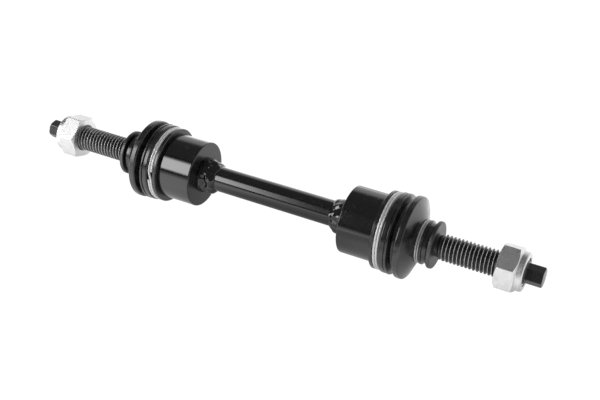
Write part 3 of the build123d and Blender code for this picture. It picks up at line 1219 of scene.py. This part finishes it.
@dataclass(frozen=True)
class BallStud(EndPiece):
    """Ball, waisted neck, journal, collar, rolled thread and the hexagonal end that a key holds."""

    tip_turn: float
    ball_radius: float = 10.0
    flat_distance: float = 9.0
    neck_radius: float = 5.65
    waist_radius: float = 5.35
    waist_distance: float = 11.0
    journal_start: float = 72.9
    journal_radius: float = 8.0
    journal_rounding: float = 0.2
    collar_radius: float = 10.8
    collar_rounding: Point = (0.5, 0.55)
    relief_radius: float = 4.92
    relief_rounding: float = 0.5
    runout: float = 2.6
    end_chamfer: float = 1.1
    tip_across_flats: float = 8.0
    tip_edge_radius: float = 0.35
    tip_foot_rounding: float = 0.25
    tip_rounding: float = 0.1
    tip_chamfer: float = 0.5
    least_chamfer: float = 0.06
    thread: Thread = Thread()
    thread_phase: float = 0.0
    thread_begin: float = 81.4
    columns: int = 120
    ball_steps: int = 40
    waist_steps: int = 12

    def build(self) -> None:
        """Builds and dresses the stud."""
        name = self.end.node("threaded_stud")
        head = self.head()
        rows = len(self.thread.ridge())
        length = self.stations.thread_end - self.thread_begin
        turns = math.ceil(length / self.thread.pitch) + self.thread.spare_turns
        lead = Lead(len(head), len(head) + turns * rows, rows)

        def column(angle: float) -> list[Point]:
            """Outline of the stud at one angle."""
            return [*head, *self.shank(angle, turns), *self.tip(angle)]

        mesh = turned_mesh(name, column, even_angles(self.columns), self.end, lead)
        piece = finished_piece(name, mesh, StudSteel("phosphated_stud"), sharp_degrees=32)
        stands_for(piece, self.end.node("stud"), "stud_steel", self.end.node("ball_stud"))

    def head(self) -> list[Point]:
        """The outline from the ball to the start of the thread.

        Returns:
            (station, radius) points.
        """
        at = self.stations
        first = math.acos(-self.flat_distance / self.ball_radius)
        last = math.asin(self.neck_radius / self.ball_radius)
        points = [(at.ball_centre - self.flat_distance, 0.0)]
        for step in range(self.ball_steps + 1):
            angle = first + (last - first) * step / self.ball_steps
            points.append((at.ball_centre + self.ball_radius * math.cos(angle), self.ball_radius * math.sin(angle)))
        waist = at.ball_centre + self.waist_distance
        for step in range(self.waist_steps + 1):
            share = step / self.waist_steps
            ease = share * share * (3 - 2 * share)
            station = waist + (self.journal_start - waist) * share
            points.append((station, self.waist_radius + (self.journal_radius - self.waist_radius) * ease))
        collar = [
            (self.journal_start, at.collar_inner, self.journal_radius, 0.0, self.journal_rounding),
            (at.collar_inner, at.collar_outer, self.collar_radius, *self.collar_rounding),
            (at.collar_outer, self.thread_begin, self.relief_radius, self.relief_rounding, 0.0),
        ]
        return [*points, *rounded(collar)]

    def shank(self, angle: float, turns: int) -> list[Point]:
        """The thread's outline at one angle.

        Args:
            angle: The column's angle.
            turns: How many pitches of rows it has.

        Returns:
            (station, radius) points, those before the thread's start or past its end drawn in to it.
        """
        at = self.stations
        pitch, crest = self.thread.pitch, self.thread.crest_radius
        end_radius = crest - self.end_chamfer
        points = []
        for turn in range(turns):
            for share, depth in self.thread.ridge():
                passed = turn - self.thread.turns_before + share + angle / FULL_TURN
                station = at.thread_start + self.thread_phase + pitch * passed
                if station <= self.thread_begin:
                    points.append((self.thread_begin, self.relief_radius))
                elif station >= at.thread_end:
                    points.append((at.thread_end, end_radius))
                else:
                    full = min(1.0, (station - self.thread_begin) / self.runout)
                    radius = self.relief_radius + (crest - depth - self.relief_radius) * full
                    limit = end_radius + (at.thread_end - station)
                    points.append((station, min(radius, limit)))
        return points

    def tip(self, angle: float) -> list[Point]:
        """The hexagonal end's outline at one angle.

        Args:
            angle: The column's angle.

        Returns:
            (station, radius) points.
        """
        at = self.stations
        radius = Hexagon(self.tip_across_flats, self.tip_edge_radius, self.tip_turn * self.end.outwards).radius(angle)
        end_radius = self.tip_across_flats / math.sqrt(3) - self.tip_chamfer
        outline = [
            (at.thread_end, self.thread.crest_radius - self.end_chamfer),
            (at.thread_end, radius, self.tip_foot_rounding),
            (at.tip_end - max(self.least_chamfer, radius - end_radius), radius, self.tip_rounding),
            (at.tip_end, min(end_radius, radius - self.least_chamfer), self.tip_rounding),
            (at.tip_end, 0.0),
        ]
        return rounded(outline, steps=4)


@dataclass(frozen=True)
class LockNut(EndPiece):
    """Hexagon nut with a turned-in collar that holds a nylon ring."""

    turn: float
    across_flats: float = 19.0
    edge_radius: float = 0.45
    edge_offsets: tuple[float, ...] = (0, 0.35, 0.7, 1.05, 1.35, 1.8, 3, 5, 7.5, 10, 13, 16, 19, 22, 25, 27.5, 30)
    hexagon_height: float = 9.2
    edge_rounding: float = 0.12
    face_radius: float = 9.3
    face_rounding: float = 0.15
    collar_radius: float = 8.8
    collar_rounding: Point = (0.5, 1.9)
    chamfer_degrees: float = 30.0
    countersink_radius: float = 6.7
    insert_radius: float = 7.8
    insert_height: float = 2.7
    insert_cover: float = 0.7
    insert_bore: float = 6.05
    insert_rounding: Place = (0.35, 0.25, 0.5)
    mouth_radius: float = 6.6
    mouth_rounding: float = 0.25
    gap: float = 0.05
    thread_phase: float = 0.0
    thread: Thread = Thread()
    thread_crest_share: float = 0.25
    ring_columns: int = 96

    def build(self) -> None:
        """Builds and dresses the nut and its nylon ring."""
        name = self.end.node("hexagon_nut")
        plan = Hexagon(self.across_flats, self.edge_radius, self.turn * self.end.outwards)
        turns = math.ceil(self.hexagon_height / self.thread.pitch) + self.thread.spare_turns
        before = len(self.outside(0.0, plan))
        rows = len(self.groove())
        lead = Lead(before, before + turns * rows, -rows)

        def column(angle: float) -> list[Point]:
            """Outline of the nut at one angle."""
            return [*self.outside(angle, plan), *self.inside(angle, turns)]

        mesh = turned_mesh(name, column, plan.angles(self.edge_offsets), self.end, lead)
        piece = finished_piece(name, mesh, ZincPlate("zinc_plating"), sharp_degrees=34)
        stands_for(piece, self.end.node("lock_nut"), "nut_zinc", self.end.node("lock_nut"))
        at = self.stations
        insert_end = at.nut_end - self.insert_cover
        foot, outer, mouth = self.insert_rounding
        outline = [
            (insert_end - self.insert_height, self.insert_bore, foot),
            (insert_end - self.insert_height, insert_end, self.insert_radius, outer),
            (insert_end, self.insert_bore, mouth),
        ]
        nylon = Moulded("natural_nylon", pale=(0.8, 0.8, 0.76), dark=(0.7, 0.7, 0.65))
        ring = turned_piece(self.end.node("nylon_ring"), outline, nylon, self.end, self.ring_columns)
        stands_for(ring, self.end.node("nut_insert"), "insert_nylon", self.end.node("nut_insert"))

    def outside(self, angle: float, plan: Hexagon) -> list[Point]:
        """The outline from the countersink round the outside to the insert's recess.

        Args:
            angle: The column's angle.
            plan: The plan of the hexagon.

        Returns:
            (station, radius) points.
        """
        at = self.stations
        rise = math.tan(math.radians(self.chamfer_degrees))
        radius = plan.radius(angle)
        hexagon_end = at.nut_face + self.hexagon_height
        insert_end = at.nut_end - self.insert_cover
        recess_start = insert_end - self.insert_height - self.gap
        recess_radius = self.insert_radius + self.gap
        outline = [
            (at.nut_face, self.countersink_radius, self.edge_rounding),
            (at.nut_face, self.face_radius, self.face_rounding),
            (at.nut_face + (radius - self.face_radius) * rise, radius, self.edge_rounding),
            (hexagon_end - (radius - self.collar_radius) * rise, radius, self.edge_rounding),
            (hexagon_end, at.nut_end, self.collar_radius, *self.collar_rounding),
            (at.nut_end, self.mouth_radius, self.mouth_rounding),
            (insert_end + self.gap, self.mouth_radius),
            (insert_end + self.gap, recess_start, recess_radius, 0.0),
            (recess_start, self.thread.crest_radius + self.gap),
        ]
        return rounded(outline)

    def groove(self) -> list[Point]:
        """Rows of one groove of the nut's thread, from its outer side to its inner side."""
        return list(reversed(self.thread.rows_of_groove(self.gap, self.thread_crest_share)))

    def inside(self, angle: float, turns: int) -> list[Point]:
        """The threaded bore's outline at one angle, from the recess to the countersink.

        Args:
            angle: The column's angle.
            turns: How many pitches of rows it has.

        Returns:
            (station, radius) points, drawn in to the bore's two ends.
        """
        at = self.stations
        pitch = self.thread.pitch
        top = at.nut_end - self.insert_cover - self.insert_height - self.gap
        phase = (at.thread_start + self.thread_phase - top) % pitch
        highest = top + phase + self.thread.turns_before * pitch
        points = []
        for turn in range(turns):
            for share, radius in self.groove():
                station = highest + pitch * (angle / FULL_TURN - turn + share)
                if station >= top:
                    points.append((top, self.thread.crest_radius + self.gap))
                elif station <= at.nut_face:
                    points.append((at.nut_face, self.countersink_radius))
                else:
                    points.append((station, max(radius, self.countersink_radius - (station - at.nut_face))))
        return points


@dataclass(frozen=True)
class Joint(EndPiece):
    """One end of the link, from the weld to the key end."""

    nut_turn: float
    tip_turn: float
    clamp_wire_start: float
    neck_wire_start: float
    thread_phase: float
    clamp: Coil = Coil(middle=58.45, inner_radius=16.97, wire=1.25, opening=14.3)
    neck: Coil = Coil(
        middle=74.35,
        inner_radius=8.97,
        wire=1.0,
        opening=20.0,
        sides=12,
        finish=LinedSteel("dark_drawn_wire", bright=neutral(0.4), dull=neutral(0.2), roughness=0.36),
    )

    def build(self) -> None:
        """Builds the end's pieces, from the rod outwards."""
        WeldBead(self.end, self.stations).build()
        Housing(self.end, self.stations).build()
        Boot(self.end, self.stations).build()
        body, node = "link_body", self.end.node
        WireRing(self.end, "clamp_wire", body, node("boot_clamp_ring"), self.clamp, self.clamp_wire_start).build()
        body = node("boot_neck")
        WireRing(self.end, "neck_wire", body, node("neck_ring"), self.neck, self.neck_wire_start).build()
        BallStud(self.end, self.stations, self.tip_turn, thread_phase=self.thread_phase).build()
        LockNut(self.end, self.stations, self.nut_turn, thread_phase=self.thread_phase).build()


# ---- The studio


@dataclass(frozen=True)
class Studio:
    """A pale floor, soft light from the upper left and the camera at the photograph's angle.

    The floor that the link mirrors lies under the boots and glows, with a painted shadow near the link, a painted
    pool of light on the left and painted shade under the rod's middle. The one that the camera sees is lower, clear
    of swung studs.
    """

    floor_height: float = -0.0191
    lower_floor_height: float = -0.045
    floor_size: float = 6.0
    floor_white: float = 1.05
    # The mirrored floor's glow: a painted shadow near the link, a painted pool of light on the left and painted shade
    # under the rod's middle.
    link_reach: float = 0.13
    shade_reach: float = 0.05
    shade_depth: float = 0.9
    shade_least: float = 0.7
    painted_light_left: Point = (0.02, -0.12)
    painted_light_gain: float = 0.3
    painted_shade_middle: Point = (0.02, 0.06)
    painted_shade_loss: float = 0.4
    camera_place: Place = (0.1899, -0.34455, 0.2873)
    camera_right: Place = (0.8894, 0.4570, 0.0)
    camera_forward: Place = (-0.3679, 0.7160, -0.5930)
    lens: float = 62.4
    sensor_width: float = 36.0
    key_angle: float = 50.6
    key_distance: float = 0.9
    key_middle: float = -0.8
    key_half_size: float = 0.5
    key_strength: float = 8.5
    key_left_fade: Point = (-1.0, -0.6)
    key_right_fade: Point = (1.0, 0.6)
    key_right_power: float = 1.5
    key_foot_fade: Point = (-0.78, -0.64)
    key_top_fade: Point = (0.85, 0.4)
    key_top_power: float = 2.0
    top_place: Place = (0.15, 0.2, 1.2)
    top_size: float = 1.2
    top_power: float = 9.0
    ceiling: float = 0.22
    horizon: float = 1.5
    sweep: Point = (0.63, 0.43)
    sweep_slant: float = 0.55
    sweep_side: Point = (-0.15, 0.25)
    skirting: Point = (0.12, 0.05)
    backdrop: Colour = neutral(0.93)

    def build(self) -> None:
        """Builds the camera, the floors and the light."""
        self.camera()
        self.floor()
        self.key_light()
        self.top_light()
        self.room()
        bpy.context.scene.view_settings.view_transform = "Standard"

    def camera(self) -> None:
        """Sets the camera where the photograph was taken from."""
        data = bpy.data.cameras.new("camera")
        data.lens = self.lens
        data.sensor_width = self.sensor_width
        camera = bpy.data.objects.new("camera", data)
        bpy.context.scene.collection.objects.link(camera)
        right = Vector(self.camera_right).normalized()
        back = -Vector(self.camera_forward).normalized()
        turn = Matrix((right, back.cross(right), back)).transposed().to_4x4()
        camera.matrix_world = Matrix.Translation(self.camera_place) @ turn
        bpy.context.scene.camera = camera

    def sheet(self, name: str, half_size: float) -> tuple[bpy.types.Object, Graph]:
        """A square sheet that isn't part of the link.

        Args:
            name: Its name.
            half_size: Half its width, in metres.

        Returns:
            The sheet, facing +Z at the origin, and the graph of its material.
        """
        mesh = bpy.data.meshes.new(name)
        corners = [(x * half_size, y * half_size, 0) for x, y in ((-1, -1), (1, -1), (1, 1), (-1, 1))]
        mesh.from_pydata(corners, [], [(0, 1, 2, 3)])
        shader = bpy.data.materials.new(name)
        mesh.materials.append(shader)
        sheet = bpy.data.objects.new(name, mesh)
        bpy.context.scene.collection.objects.link(sheet)
        return sheet, Graph(shader)

    def floor(self) -> None:
        """Lays the glowing floor that is mirrored, its glow painted with a shadow near the link, a pool of light on
        the left and shade under the rod's middle, and the plain one that the camera sees.
        """
        floor, graph = self.sheet("floor", self.floor_size / 2)
        floor.location.z = self.floor_height
        x, y, _ = graph.axes(graph.node("TexCoord", output="Object"))
        # Painted shadow: the mirrored floor glows less near the link, as if the link shaded it.
        beyond = (abs(x) - self.link_reach).larger(0.0)
        away = ((beyond * beyond + y * y) ** 0.5).rise(0.0, self.shade_reach)
        # Painted light: the glow is raised on the left, as if the soft box lit the floor there.
        left = x.rise(*self.painted_light_left) * self.painted_light_gain + 1
        # Painted shade: the glow is lowered under the rod's middle.
        middle = abs(x).rise(*self.painted_shade_middle) * self.painted_shade_loss + (1 - self.painted_shade_loss)
        strength = (away * self.shade_depth + self.shade_least) * left * middle
        glow = graph.node("Emission", {"Strength": strength})
        seen = graph.node("LightPath", output="Is Camera Ray")
        mixed = graph.node("MixShader", {0: seen, 1: glow, 2: graph.node("BsdfTransparent")})
        graph.node("OutputMaterial", {"Surface": mixed})
        lower, graph = self.sheet("lower_floor", self.floor_size / 2)
        lower.location.z = self.lower_floor_height
        graph.node("OutputMaterial", {"Surface": graph.node("Emission", {"Strength": self.floor_white})})

    def key_light(self) -> None:
        """Hangs the large soft box up to the left of the camera, its near end and its top soft."""
        box, graph = self.sheet("soft_box", self.key_half_size)
        across, up, _ = (axis / self.key_half_size for axis in graph.axes(graph.node("TexCoord", output="Object")))
        sides = across.rise(*self.key_left_fade) * across.rise(*self.key_right_fade) ** self.key_right_power
        ends = up.rise(*self.key_foot_fade) * up.rise(*self.key_top_fade) ** self.key_top_power
        glow = graph.node("Emission", {"Strength": sides * ends * self.key_strength})
        graph.node("OutputMaterial", {"Surface": glow})
        lean = math.radians(self.key_angle)
        box.rotation_euler.x = lean
        away = Matrix.Rotation(lean, 3, "X") @ Vector((0.0, 0.0, self.key_distance))
        box.location = Vector((self.key_middle, 0.0, 0.0)) + away
        box.visible_camera = False

    def top_light(self) -> None:
        """Hangs a wide light overhead, which fills the shades and leaves no reflection of itself."""
        data = bpy.data.lights.new("top_light", "AREA")
        data.size = self.top_size
        data.energy = self.top_power
        light = bpy.data.objects.new("top_light", data)
        light.location = self.top_place
        bpy.context.scene.collection.objects.link(light)
        light.visible_glossy = False

    def room(self) -> None:
        """Paints the room that the gloss surfaces mirror: a pale sweep behind and a dim ceiling."""
        world = bpy.data.worlds.new("studio")
        bpy.context.scene.world = world
        graph = Graph(world)
        x, y, z = graph.axes(graph.node("TexCoord", output="Generated"))
        behind = (y + self.sweep_slant * x).rise(*self.sweep_side)
        pale = (z.rise(*self.sweep) * behind).larger(z.rise(*self.skirting))
        light = graph.node("Background", {"Strength": pale * (self.horizon - self.ceiling) + self.ceiling})
        backdrop = graph.node("Background", {"Color": self.backdrop})
        seen = graph.node("LightPath", output="Is Camera Ray")
        graph.node("OutputWorld", {"Surface": graph.node("MixShader", {0: seen, 1: light, 2: backdrop})})


def main() -> None:
    """Builds the link and the studio."""
    logging.basicConfig(level=logging.INFO, format="%(name)s: %(message)s")
    stations = Stations()
    Rod().build()
    turned = ("nut_turn", "tip_turn", "clamp_wire_start", "neck_wire_start", "thread_phase")
    for end, turns in ((End.LEFT, (7.5, 34.7, 85.7, 200.0, 0.3)), (End.RIGHT, (-1.6, 30.7, -78.0, 160.0, -0.5))):
        Joint(end, stations, **dict(zip(turned, turns))).build()
    Studio().build()


if __name__ == "__main__":
    main()
